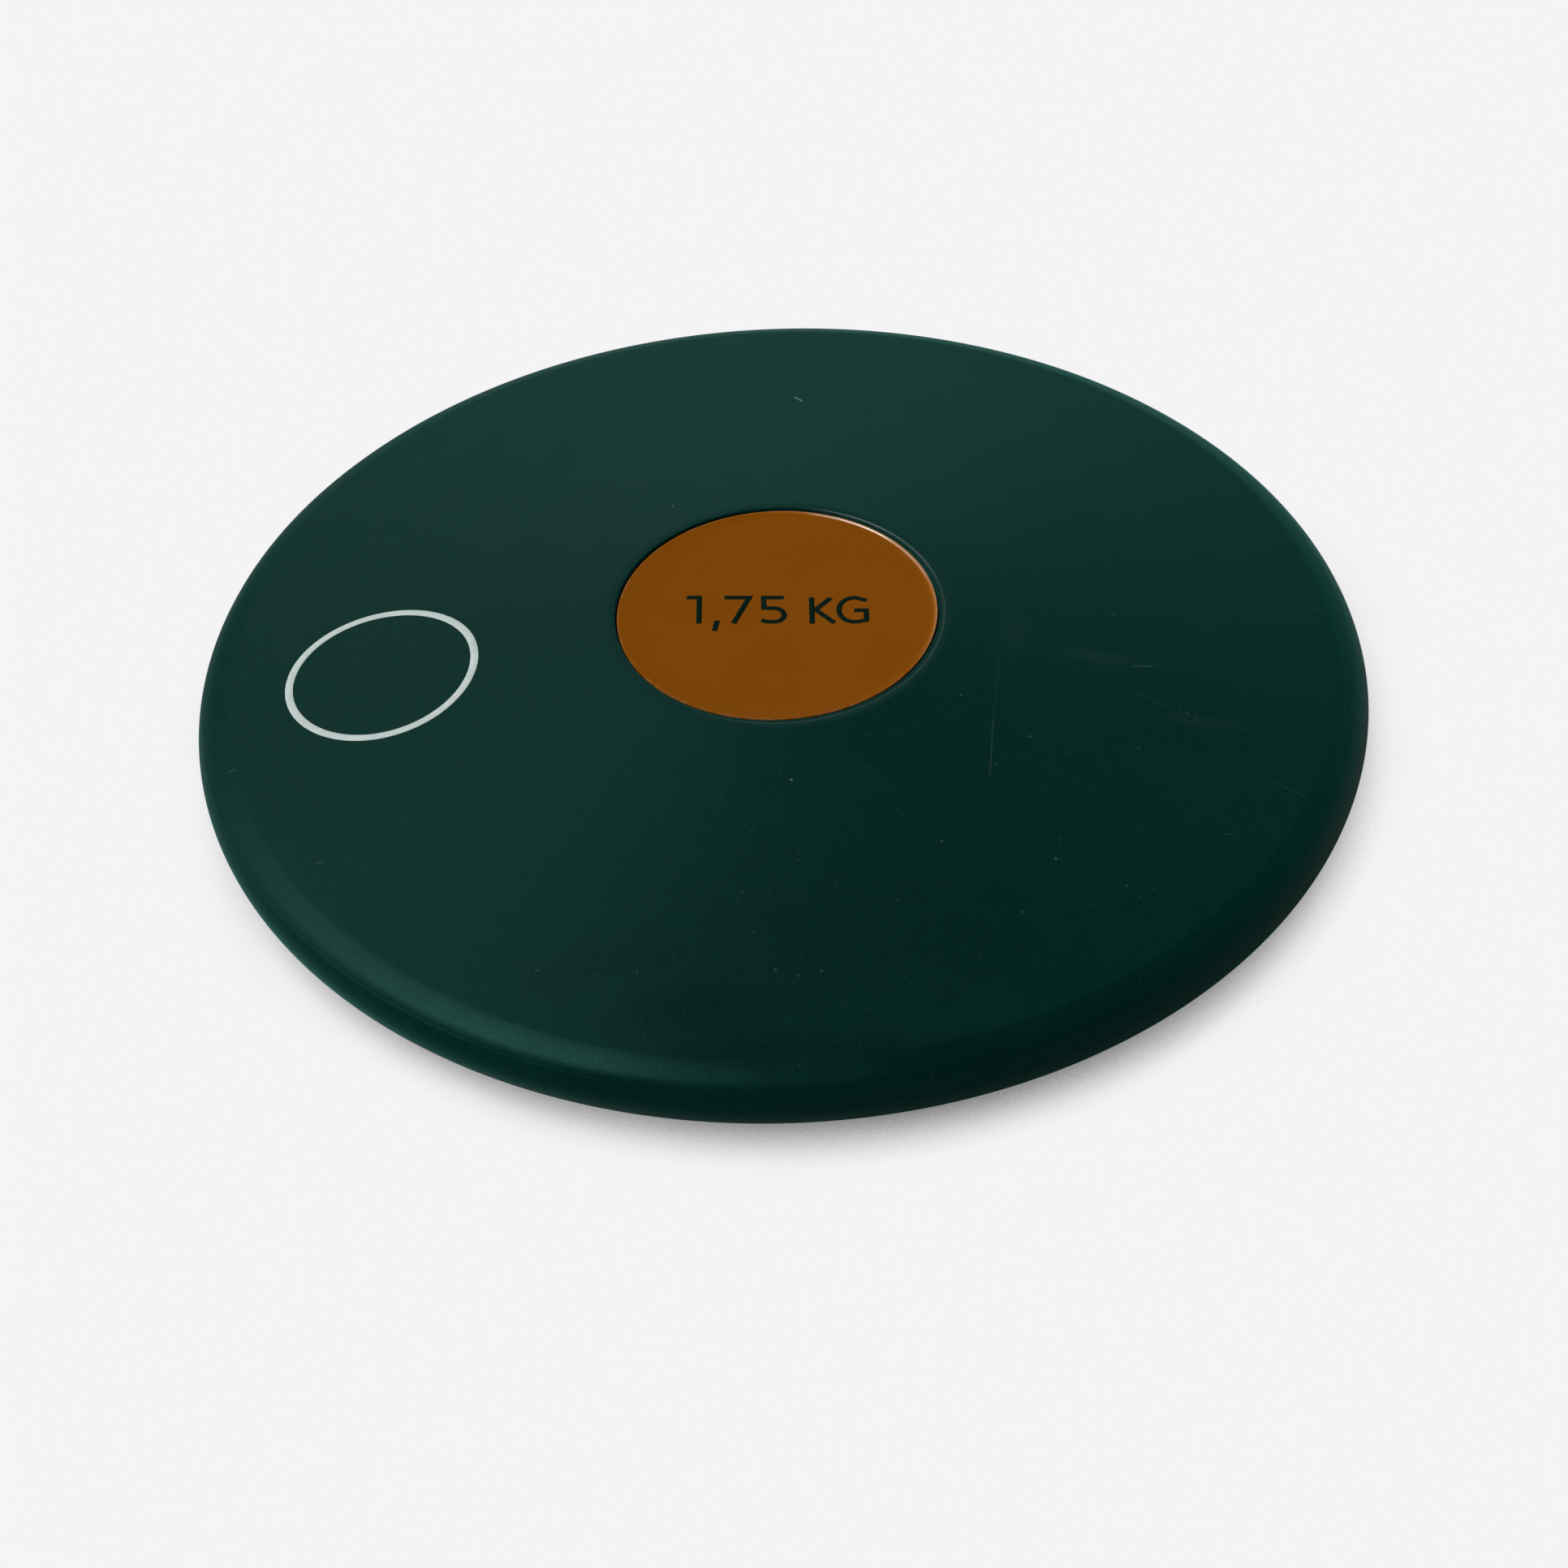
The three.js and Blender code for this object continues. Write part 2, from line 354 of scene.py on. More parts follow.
def moulded_body(material):
    """The rubber body, its closed outline turned about the axis.

    The pocket's part of the outline is moved off the axis by the offset, in a share that grows
    evenly over the pocket's floor. The mould line fades round the rim, from its full height to
    its least, with the cube of half of one plus the cosine of the turn from its side.
    """
    turn = np.linspace(0, 2 * np.pi, BODY_TURNS, endpoint=False)
    nearness = (0.5 + 0.5 * np.cos(turn - MOULD_LINE_SIDE)) ** 3
    rim = rim_profile(MOULD_LINE_LEAST + (1 - MOULD_LINE_LEAST) * nearness)
    face = face_profile()
    mirror = np.array([1, -1])
    cavity = np.array([
        (BORE_RADIUS, CAVITY_HEIGHT),
        (CAVITY_RADIUS - CORNER_ROUND, CAVITY_HEIGHT),
        (CAVITY_RADIUS, CAVITY_HEIGHT - CORNER_ROUND),
    ])
    rest = np.vstack([(face * mirror)[::-1], cavity * mirror, cavity[::-1]])
    grid = np.vstack([same_all_round(face, turn), rim, same_all_round(rest, turn)])
    radius, height = grid[:, 0, 0], grid[:, 0, 1]
    floor_share = np.clip((radius - BORE_RADIUS) / (POCKET_RADIUS - BORE_RADIUS), 0, 1)
    on_pocket = (radius < POCKET_RADIUS + TOLERANCE) & (np.abs(height) > POCKET_FLOOR - TOLERANCE)
    shift = np.where(on_pocket, floor_share, 0)
    return turned("moulded_body", grid[..., 0], grid[..., 1], shift, True, material)


def inlay(name, side, material):
    """An inlay: flat dish floor, cove, narrow rim, rounded edge, wall and chamfered underside,
    turned about the pocket's axis. The lower one is the upper one mirrored.

    Away from its side the cove is drawn out inwards: what a point lies inside the rim is
    multiplied by a width, which grows from one with the square of half of one minus the cosine
    of the turn from that side, and the floor gives way to it.
    """
    cove_edge = INLAY_RADIUS - INLAY_RIM_WIDTH
    dish_edge = cove_edge - COVE_ROUND * math.sin(COVE_SWEEP)
    edge = (INLAY_RADIUS - INLAY_EDGE_ROUND, LEDGE_HEIGHT - INLAY_EDGE_ROUND)
    under = (INLAY_RADIUS - INLAY_CHAMFER, INLAY_UNDERSIDE)
    floor = run((DISH_MIDDLE, DISH_FLOOR), (dish_edge, DISH_FLOOR), DISH_STEPS)
    centre = (dish_edge, DISH_FLOOR + COVE_ROUND)
    cove = arc(centre, COVE_ROUND, COVE_ROUND, -QUARTER, COVE_SWEEP - QUARTER, COVE_STEPS)
    outline = np.vstack([
        floor,
        cove,
        arc(edge, INLAY_EDGE_ROUND, INLAY_EDGE_ROUND, QUARTER, 0, EDGE_STEPS),
        [(INLAY_RADIUS, INLAY_UNDERSIDE + INLAY_CHAMFER)],
        run(under, (DISH_MIDDLE, INLAY_UNDERSIDE), FLAT_STEPS),
        [(DISH_MIDDLE, INLAY_UNDERSIDE)],
    ])
    turn = np.linspace(0, 2 * np.pi, INLAY_TURNS, endpoint=False)
    width = 1 + (COVE_DRAWN_OUT - 1) * (0.5 - 0.5 * np.cos(turn - COVE_SIDE)) ** 2
    grid = same_all_round(outline, turn)
    radius = grid[..., 0]
    radius[:len(floor)] *= (cove_edge - (cove_edge - dish_edge) * width) / dish_edge
    drawn = slice(len(floor), len(floor) + len(cove))
    radius[drawn] = cove_edge - (cove_edge - radius[drawn]) * width
    if side < 0:
        grid = (grid * np.array([1, -1]))[::-1]
    return turned(name, grid[..., 0], grid[..., 1], np.ones(len(grid)), False, material)


def ink_band(path, width, height, closed):
    """A strip of ink along a plan path, as a grid of rows along it by section points.

    Each section lies along the bisector of its two path steps, lengthened by one over the
    cosine of half the turn so that the strip keeps its width, with a bevelled top edge.
    Returns plan points and each one's height over the surface.
    """
    step = np.roll(path, -1, axis=0) - path
    if not closed:
        step[-1] = step[-2]
    ahead = step / np.linalg.norm(step, axis=1, keepdims=True)
    behind = np.roll(ahead, 1, axis=0)
    if not closed:
        behind[0] = ahead[0]
    left = np.stack([-(ahead + behind)[:, 1], (ahead + behind)[:, 0]], axis=-1)
    left /= np.linalg.norm(left, axis=1, keepdims=True)
    lengthened = 1 / np.abs(left[:, 0] * ahead[:, 1] - left[:, 1] * ahead[:, 0])
    half = width / 2
    aside = np.array([-half, -half, INK_EDGE - half, half - INK_EDGE, half, half])
    lift = np.array([-INK_SINK, height - INK_EDGE / 2, height, height, height - INK_EDGE / 2, -INK_SINK])
    plan = path[:, None] + (lengthened[:, None] * left)[:, None] * aside[:, None]
    return plan, np.broadcast_to(lift, plan.shape[:2])


def weight_mark(material):
    """The weight, as strips of ink on the dish floor, drawn in its own frame in millimetres:
    along the row, and up from its foot. The frame leans, and is turned and moved to its place.
    Each stroke is a little lower than the one before, so that no two tops share a plane."""
    # The round stretches of the 5 and of the G
    bowl = arc((13.55, 2.3), 1.95, 1.9, QUARTER, -1.4, 16)
    sweep = arc((28.25, 3.75), 2.8, 3.3, 1.1, 4.9, 26)
    strokes = [
        [(-2.3, 7.1), (0.0, 7.1), (0.0, 0.0)],
        [(3.35, 0.75), (2.85, -2.05)],
        [(4.6, 7.1), (9.1, 7.1), (6.3, 0.0)],
        np.vstack([[(15.35, 7.1), (11.7, 7.1), (11.8, 4.2)], bowl, [(12.3, 0.5), (11.35, 0.9)]]),
        [(20.45, 7.1), (20.6, -0.05)],
        [(23.95, 7.0), (21.2, 3.8), (24.65, 0.15)],
        [(20.7, 3.8), (21.5, 3.8)],
        np.vstack([[(30.45, 6.35)], sweep, [(30.45, 0.95), (30.4, 3.65), (28.2, 3.6)]]),
    ]
    cos, sin = math.cos(MARK_TURN), math.sin(MARK_TURN)
    skins = []
    for order, stroke in enumerate(strokes):
        path = np.array(stroke) * (MARK_NARROWED * MM, MM)
        plan, lift = ink_band(path, MARK_STROKE, MARK_HEIGHT - order * MARK_STEP_DOWN, False)
        along, up = plan[..., 0] + MARK_LEAN * (MARK_MIDDLE - plan[..., 1]), plan[..., 1]
        x = MARK_ORIGIN[0] + along * cos - up * sin
        y = MARK_ORIGIN[1] + along * sin + up * cos
        skins.append(skinned(np.stack([x, y, HALF_THICKNESS + DISH_FLOOR + lift], axis=-1), False))
    return piece("weight_mark", skins, material)


def printed_oval(material):
    """A ring of ink on the face: an ellipse in plan, lifted to the height of the cone."""
    angle = np.linspace(0, 2 * np.pi, OVAL_STEPS, endpoint=False)
    along, up = OVAL_RADII[0] * np.cos(angle), OVAL_RADII[1] * np.sin(angle)
    cos, sin = math.cos(OVAL_TURN), math.sin(OVAL_TURN)
    path = OVAL_CENTRE + np.stack([along * cos - up * sin, along * sin + up * cos], axis=-1)
    plan, lift = ink_band(path, OVAL_BAND, OVAL_HEIGHT, True)
    height = HALF_THICKNESS + face_height(np.hypot(plan[..., 0], plan[..., 1])) + lift
    return piece("printed_oval", [skinned(np.dstack([plan, height]), True)], material)


# Nodes

def put(tree, kind, feeds=None, **settings):
    """Adds a node, sets its settings, and gives its inputs their values or links."""
    made = tree.nodes.new(kind)
    for name, value in settings.items():
        setattr(made, name, value)
    for name, feed in (feeds or {}).items():
        if isinstance(feed, bpy.types.NodeSocket):
            tree.links.new(feed, made.inputs[name])
        else:
            made.inputs[name].default_value = feed
    return made


def calc(tree, operation, *values, clamp=False):
    """A calculation with numbers, held between 0 and 1 if clamped."""
    made = put(tree, "ShaderNodeMath", dict(enumerate(values)), operation=operation, use_clamp=clamp)
    return made.outputs[0]


def ramp(tree, value, low, high, to_low=0.0, to_high=1.0):
    """A smooth step of value between low and high, mapped to run from to_low to to_high."""
    feeds = {"Value": value, "From Min": low, "From Max": high, "To Min": to_low, "To Max": to_high}
    return put(tree, "ShaderNodeMapRange", feeds, interpolation_type="SMOOTHSTEP").outputs["Result"]


def tint(tree, share, colour_a, colour_b):
    """Colour a, with a share of colour b mixed in."""
    feeds = {0: share, 6: opaque(colour_a), 7: opaque(colour_b)}
    return put(tree, "ShaderNodeMix", feeds, data_type="RGBA").outputs[2]


def opaque(colour):
    """A colour as a socket takes it: a link as it is, or else with full cover added."""
    return colour if isinstance(colour, bpy.types.NodeSocket) else (*colour, 1)


def noise(tree, place, size, detail=2.0, roughness=0.5):
    """Noise with features of about a size in metres. The size may be a socket."""
    scale = calc(tree, "DIVIDE", 1.0, size)
    feeds = {"Vector": place, "Scale": scale, "Detail": detail, "Roughness": roughness}
    return put(tree, "ShaderNodeTexNoise", feeds).outputs["Fac"]


def vector(tree, operation, a, b=None, output=0):
    """A calculation with one or two vectors. Its output is a vector or, for Value, a number."""
    feeds = {0: a} if b is None else {0: a, 1: b}
    return put(tree, "ShaderNodeVectorMath", feeds, operation=operation).outputs[output]


def in_plan(tree, position, centre):
    """The way from a centre to a position, seen from above."""
    return vector(tree, "MULTIPLY", vector(tree, "SUBTRACT", position, centre), (1, 1, 0))


# The shared node groups by name
EFFECTS = {}


def effect(name, inputs, output):
    """Makes a shared node group whose inner nodes are laid by the function that it wraps."""
    def wrap(lay):
        tree = bpy.data.node_groups.new(name, "ShaderNodeTree")
        for label, start in inputs.items():
            kind = "NodeSocketVector" if isinstance(start, tuple) else "NodeSocketFloat"
            tree.interface.new_socket(label, in_out="INPUT", socket_type=kind).default_value = start
        tree.interface.new_socket(output, in_out="OUTPUT", socket_type="NodeSocketFloat")
        given = tree.nodes.new("NodeGroupInput").outputs
        tree.links.new(lay(tree, given), tree.nodes.new("NodeGroupOutput").inputs[0])
        EFFECTS[name] = tree
        return lay
    return wrap


def use(tree, name, **feeds):
    """Places a shared effect with its own values. Input names take underscores for spaces."""
    made = tree.nodes.new("ShaderNodeGroup")
    made.node_tree = EFFECTS[name]
    for label, feed in feeds.items():
        socket = made.inputs[label.replace("_", " ")]
        if isinstance(feed, bpy.types.NodeSocket):
            tree.links.new(feed, socket)
        else:
            socket.default_value = feed
    return made.outputs[0]


@effect("Moulded grain", {"Position": (0, 0, 0), "Size": 0.0005, "Soft Share": 0.4}, "Height")
def moulded_grain(tree, given):
    """Fine matt tooth of the mould, with a share of a softer unevenness, eight times as wide."""
    fine = noise(tree, given["Position"], given["Size"], 3.0, 0.6)
    soft = noise(tree, given["Position"], calc(tree, "MULTIPLY", given["Size"], 8.0), 2.0)
    return calc(tree, "ADD", fine, calc(tree, "MULTIPLY", soft, given["Soft Share"]))


@effect("Clouding", {"Position": (0, 0, 0), "Size": 0.04, "Seed": 0.0}, "Value")
def clouding(tree, given):
    """Broad soft patches, as from handling and from flow in the mould: a smooth step over the
    middle of a noise's range."""
    moved = put(tree, "ShaderNodeVectorMath", {0: given["Position"]}, operation="ADD")
    tree.links.new(given["Seed"], moved.inputs[1])
    return ramp(tree, noise(tree, moved.outputs[0], given["Size"], 3.0, 0.55), 0.3, 0.7)


@effect("Dust specks", {"Position": (0, 0, 0), "Spacing": 0.005, "Size": 0.0003, "Share": 0.3}, "Mask")
def dust_specks(tree, given):
    """One round speck at a random place in a share of the cells. Each has its own size, from
    0.4 to 1.4 times the one given, and its own strength, from 0.3 to full."""
    scale = calc(tree, "DIVIDE", 1.0, given["Spacing"])
    cells = put(tree, "ShaderNodeTexVoronoi", {"Vector": given["Position"], "Scale": scale})
    random = put(tree, "ShaderNodeSeparateColor", {"Color": cells.outputs["Color"]})
    chosen = calc(tree, "LESS_THAN", random.outputs["Red"], given["Share"])
    size = calc(tree, "MULTIPLY", given["Size"], calc(tree, "ADD", random.outputs["Green"], 0.4))
    reach = calc(tree, "DIVIDE", size, given["Spacing"])
    near = calc(tree, "SUBTRACT", 1.0, calc(tree, "DIVIDE", cells.outputs["Distance"], reach), clamp=True)
    strength = calc(tree, "MULTIPLY_ADD", random.outputs["Blue"], 0.7, 0.3)
    return calc(tree, "MULTIPLY", calc(tree, "MULTIPLY", near, chosen), strength)


@effect("Hairline scuffs", {"Position": (0, 0, 0), "Size": 0.0006, "Length": 12.0, "Share": 0.3}, "Mask")
def hairline_scuffs(tree, given):
    """Crests of a noise drawn out along one axis. They are kept where a broad noise passes a
    limit, which comes down as the share goes up."""
    shorter = calc(tree, "DIVIDE", 1.0, given["Length"])
    drawn = put(tree, "ShaderNodeCombineXYZ", {0: shorter, 1: 1.0, 2: 1.0}).outputs[0]
    place = vector(tree, "MULTIPLY", given["Position"], drawn)
    crest = ramp(tree, noise(tree, place, given["Size"], 2.0), 0.66, 0.74)
    patches = noise(tree, given["Position"], 20 * MM, 1.0)
    limit = calc(tree, "SUBTRACT", 0.75, calc(tree, "MULTIPLY", given["Share"], 0.4))
    return calc(tree, "MULTIPLY", crest, ramp(tree, calc(tree, "SUBTRACT", patches, limit), 0.0, 0.08))


@effect("Single scratch", {
    "Position": (0, 0, 0), "Start": (0, 0, 0), "End": (1, 0, 0), "Width": 0.0003,
}, "Mask")
def single_scratch(tree, given):
    """Nearness in plan to the line from start to end, one minus the distance over the width,
    and broken up by noise. The nearest point is the start plus a share of the line, which is
    the way from the start times the line, over the line times itself."""
    flat = vector(tree, "MULTIPLY", given["Position"], (1, 1, 0))
    way = vector(tree, "SUBTRACT", flat, given["Start"])
    line = vector(tree, "SUBTRACT", given["End"], given["Start"])
    along = vector(tree, "DOT_PRODUCT", way, line, "Value")
    share = calc(tree, "DIVIDE", along, vector(tree, "DOT_PRODUCT", line, line, "Value"), clamp=True)
    nearest = put(tree, "ShaderNodeVectorMath", {0: line, "Scale": share}, operation="SCALE").outputs[0]
    off = vector(tree, "LENGTH", vector(tree, "SUBTRACT", way, nearest), output="Value")
    near = calc(tree, "SUBTRACT", 1.0, calc(tree, "DIVIDE", off, given["Width"]), clamp=True)
    broken = ramp(tree, noise(tree, flat, 1.2 * MM, 2.0), 0.3, 0.6, 0.35, 1.0)
    return calc(tree, "MULTIPLY", near, broken)


@effect("Ring of shine", {
    "Position": (0, 0, 0), "Centre": (0, 0, 0), "Radius": 0.03, "Reach": 0.001,
    "Side": (1, 0, 0), "Spread": 0.0,
}, "Mask")
def ring_of_shine(tree, given):
    """Nearness to a circle round an axis: full over half of the reach, then fading out. It is
    kept to one side: the cosine of the turn from that side has to pass the spread."""
    flat = in_plan(tree, given["Position"], given["Centre"])
    off_axis = vector(tree, "LENGTH", flat, output="Value")
    off = calc(tree, "ABSOLUTE", calc(tree, "SUBTRACT", off_axis, given["Radius"]))
    band = ramp(tree, calc(tree, "DIVIDE", off, given["Reach"]), 0.5, 1.0, 1.0, 0.0)
    turn = vector(tree, "DOT_PRODUCT", vector(tree, "NORMALIZE", flat), given["Side"], "Value")
    past = calc(tree, "SUBTRACT", turn, given["Spread"])
    return calc(tree, "MULTIPLY", band, ramp(tree, past, -0.2, 0.3))


@effect("Soft patch", {"Position": (0, 0, 0), "Centre": (0, 0, 0), "Size": (0.01, 0.01, 1)}, "Mask")
def soft_patch(tree, given):
    """Nearness in plan to a centre, measured in its own half width and half depth: a smooth
    step down from near the middle to just past the edge, which noise makes ragged."""
    share = vector(tree, "DIVIDE", in_plan(tree, given["Position"], given["Centre"]), given["Size"])
    ragged = calc(tree, "MULTIPLY_ADD", noise(tree, given["Position"], 6 * MM, 3.0), 0.6, -0.3)
    reach = calc(tree, "ADD", vector(tree, "LENGTH", share, output="Value"), ragged)
    return ramp(tree, reach, 0.1, 1.1, 1.0, 0.0)


@effect("Placed speck", {"Position": (0, 0, 0), "Centre": (0, 0, 0), "Radius": 0.0003}, "Mask")
def placed_speck(tree, given):
    """Nearness in plan to a centre: one minus the distance over the radius."""
    away = vector(tree, "LENGTH", in_plan(tree, given["Position"], given["Centre"]), output="Value")
    return calc(tree, "SUBTRACT", 1.0, calc(tree, "DIVIDE", away, given["Radius"]), clamp=True)


@effect("Edge wear", {
    "Position": (0, 0, 0), "Centre": (0, 0, 0), "Radius": 0.1, "Reach": 0.001, "Break Up": 0.003,
}, "Mask")
def edge_wear(tree, given):
    """Nearness to a circle round an axis, one minus the distance from it over the reach, and
    broken up by noise."""
    flat = in_plan(tree, given["Position"], given["Centre"])
    off_axis = vector(tree, "LENGTH", flat, output="Value")
    off = calc(tree, "ABSOLUTE", calc(tree, "SUBTRACT", off_axis, given["Radius"]))
    near = calc(tree, "SUBTRACT", 1.0, calc(tree, "DIVIDE", off, given["Reach"]), clamp=True)
    broken = ramp(tree, noise(tree, given["Position"], given["Break Up"], 3.0), 0.4, 0.65)
    return calc(tree, "MULTIPLY", near, broken)


# Finishes

def finish_of(name, **constants):
    """A material with its shader, whose constants are set on the shader's own sockets."""
    made = bpy.data.materials.new(name)
    made.use_nodes = True
    tree = made.node_tree
    shader = tree.nodes["Principled BSDF"]
    for label, value in constants.items():
        shader.inputs[label.replace("_", " ")].default_value = value
    return made, tree, shader, put(tree, "ShaderNodeTexCoord").outputs["Object"]


def dress(tree, shader, colour, roughness, relief, depth):
    """Feeds the shader its colour and its roughness, and a bump of the relief times a depth."""
    made = put(tree, "ShaderNodeBump", {"Height": relief, "Distance": depth, "Strength": 1.0})
    tree.links.new(colour, shader.inputs["Base Color"])
    tree.links.new(roughness, shader.inputs["Roughness"])
    tree.links.new(made.outputs["Normal"], shader.inputs["Normal"])


def scaled(colour, share):
    """A colour with each of its channels times a share."""
    return tuple(share * channel for channel in colour)


# Depth of each finish's relief
RUBBER_TOOTH = 0.038 * MM
INLAY_TOOTH = 0.012 * MM
MARK_TOOTH = 0.008 * MM
OVAL_TOOTH = 0.01 * MM
STEEL_TOOTH = 0.006 * MM

# Roughness of each finish, and what its clouds or dark patches add to it
RUBBER_ROUGHNESS = 0.36
RUBBER_CLOUD_ROUGHNESS = 0.04
RUBBER_DARK_ROUGHNESS = -0.08
INLAY_ROUGHNESS = 0.42
INLAY_CLOUD_ROUGHNESS = 0.06
MARK_ROUGHNESS = 0.5
MARK_CLOUD_ROUGHNESS = 0.08
OVAL_ROUGHNESS = 0.5
OVAL_CLOUD_ROUGHNESS = 0.1
STEEL_ROUGHNESS = 0.28
STEEL_CLOUD_ROUGHNESS = 0.25

# Green rubber: how light its lightest clouds and its painted light on the far face are, how wide its
# mottle is, and the share of the colour that each effect changes, painted light and shade among them
RUBBER_LIGHTEST = 1.5
BROAD_CLOUDS = 0.10
FINE_CLOUDS = 0.04
PAINTED_LIGHT_SHARE = 0.7
MOTTLE_SIZE = 0.6 * MM
MOTTLING = 0.30
DARKENING = 0.55
LOOSE_SPECKS = 0.22
POWDER = 0.16
POWDER_ELSEWHERE = 0.25

# Orange inlay, the inks and the steel: the same, with the width and strength of the tool's rings
INLAY_LIGHTEST = 1.35
INLAY_CLOUDS = 0.12
INLAY_WEAR = 0.12
INLAY_SPECKS = 0.12
# Share of the painted highlight's pale orange in the cove
COVE_HIGHLIGHT_SHARE = 0.5
MARK_LIGHTEST = 1.3
OVAL_CLOUDS = 0.14
OVAL_SCUFFS = 0.25
STEEL_DARKEST = 0.45
STEEL_CLOUDS = 0.5
TOOL_STEP = 0.4 * MM
TOOL_MARKS = 0.5
CORE_WORN_EDGE = CORE_RADIUS - 0.5 * MM

# Shine on the lip and in the cove: half width, strength, and how far inside the inlay's rim
LIP_SHINE_REACH = 0.3 * MM
LIP_SHINE = 0.7
COVE_SHINE_INSET = 0.28 * MM
COVE_SHINE_REACH = 0.45 * MM

# The side on which the lip is rubbed smooth, and the side on which the cove has its coat and its painted
# highlight. The spread is about the cosine of the turn from there at which the shine ends.
COVE_HIGHLIGHT_SIDE = (0.85, 0.53, 0)
COVE_SPREAD = 0.55
LIP_SIDE_POLISHED = (0.94, -0.34, 0)
LIP_SPREAD = -0.1

# Single marks on the upper face: start, end and half width in millimetres, and strength
SCRATCHES = [
    ((38.8, -11.7), (36.8, -28.0), 0.25, 0.04),
    ((36.8, -28.0), (35.6, -40.1), 0.20, 0.12),
    ((62.5, -10.9), (66.2, -10.2), 0.28, 0.16),
    ((84.6, -36.0), (90.7, -38.9), 0.22, 0.09),
    ((75.5, -49.8), (77.3, -49.6), 0.22, 0.08),
    ((97.0, -24.6), (98.1, -24.4), 0.20, 0.12),
    ((95.2, 11.9), (98.2, 10.3), 0.22, 0.09),
    ((-98.9, -19.1), (-97.9, -19.1), 0.20, 0.25),
    ((-82.8, -45.9), (-81.4, -46.1), 0.20, 0.15),
    ((5.0, 72.2), (6.0, 71.0), 0.35, 0.80),
    ((61.4, -16.9), (67.0, -19.8), 0.45, 0.035),
    ((67.0, -19.8), (71.0, -23.5), 0.45, 0.035),
]

# Specks of dust: place and radius in millimetres, and strength
SPECKS = [
    (43.1, -30.9, 0.35, 0.30), (62.2, -31.3, 0.30, 0.24), (60.1, 2.7, 0.35, 0.24),
    (31.5, -22.4, 0.35, 0.24), (100.1, -15.3, 0.25, 0.24), (26.4, -55.1, 0.30, 0.30),
    (46.0, -58.0, 0.35, 0.36), (57.9, -63.1, 0.30, 0.24), (62.6, -63.6, 0.25, 0.18),
    (39.6, -69.7, 0.30, 0.24), (28.4, 61.5, 0.40, 0.18), (46.7, 76.9, 0.35, 0.18),
    (30.7, 41.8, 0.30, 0.18), (40.5, 36.7, 0.30, 0.18), (35.4, -7.4, 0.25, 0.18),
    (-18.4, 33.2, 0.35, 0.50), (0.9, -42.0, 0.35, 0.50), (-26.9, -79.7, 0.30, 0.12),
    (-3.3, -81.1, 0.30, 0.30), (8.4, -82.6, 0.25, 0.08), (-9.3, -66.8, 0.25, 0.10),
    (-6.8, -73.1, 0.30, 0.12), (34.8, -84.6, 0.25, 0.12), (16.6, -86.4, 0.20, 0.06),
    (31.9, -79.5, 0.30, 0.12), (71.4, -21.4, 0.35, 0.18), (70.2, -20.2, 0.25, 0.18),
    (72.8, -22.6, 0.25, 0.18),
]

# The part of the face on which dust has settled
DUSTY_PLACE = (20 * MM, -60 * MM, 0)
DUSTY_SIZE = (110 * MM, 75 * MM, 1)

# The far part of the face, lightened with painted light
PAINTED_LIGHT_PLACE = (-20 * MM, 85 * MM, 0)
PAINTED_LIGHT_SIZE = (130 * MM, 75 * MM, 1)

# Soft patches: middle, half width and half depth in millimetres, and strength. Of the darker ones, the
# first is painted shade over the near part of the face and the fifth a painted dark band just inside the
# near shoulder; the rest are darker soft patches. A hazy one has been touched.
SHADE_AND_DARK_PATCHES = [
    (4.0, -76.0, 78, 36, 0.42), (-41.0, -79.0, 9, 7, 0.45), (-28.0, -77.0, 13, 7, 0.30),
    (-20.0, -87.0, 15, 7, 0.35), (-4.0, -97.5, 44, 5.5, 0.70), (-17.0, -91.0, 22, 9, 0.35),
    (72.0, -22.0, 26, 14, 0.22), (52.0, 34.0, 12, 16, 0.15), (70.0, 14.0, 12, 8, 0.15),
]
HAZY_PATCHES = [
    (56.1, -9.4, 12, 2.4, 0.014), (42.0, -5.0, 4, 7, 0.012), (75.0, -23.0, 10, 2.4, 0.012),
]


def patched(tree, place, patches):
    """A list of the masks of soft patches, each times its strength."""
    return [
        calc(tree, "MULTIPLY", strength, use(
            tree, "Soft patch", Position=place,
            Centre=(x * MM, y * MM, 0), Size=(wide * MM, deep * MM, 1)))
        for x, y, wide, deep, strength in patches
    ]


def joined(tree, operation, masks):
    """Masks added up, or the largest of them, from nought to one."""
    total = 0.0
    for mask in masks:
        total = calc(tree, operation, total, mask, clamp=True)
    return total


def placed_marks(tree, place):
    """The strongest of the placed specks and scratches."""
    specks = [
        calc(tree, "MULTIPLY", strength, use(
            tree, "Placed speck", Position=place, Centre=(x * MM, y * MM, 0), Radius=radius * MM))
        for x, y, radius, strength in SPECKS
    ]
    lines = [
        calc(tree, "MULTIPLY", strength, use(
            tree, "Single scratch", Position=place, Width=width * MM,
            Start=(start[0] * MM, start[1] * MM, 0), End=(end[0] * MM, end[1] * MM, 0)))
        for start, end, width, strength in SCRATCHES
    ]
    return joined(tree, "MAXIMUM", specks + lines)


def settled_dust(tree, place):
    """Powder and loose specks, full on the dusty part of the face and thin elsewhere."""
    powder = use(tree, "Dust specks", Position=place, Spacing=1.3 * MM, Size=0.22 * MM, Share=0.35)
    specks = use(tree, "Dust specks", Position=place, Spacing=4.5 * MM, Size=0.3 * MM, Share=0.3)
    dusty = use(tree, "Soft patch", Position=place, Centre=DUSTY_PLACE, Size=DUSTY_SIZE)
    dust = calc(tree, "MULTIPLY_ADD", specks, LOOSE_SPECKS, calc(tree, "MULTIPLY", powder, POWDER))
    thick = calc(tree, "MULTIPLY_ADD", dusty, 1 - POWDER_ELSEWHERE, POWDER_ELSEWHERE)
    return calc(tree, "MULTIPLY", dust, thick)


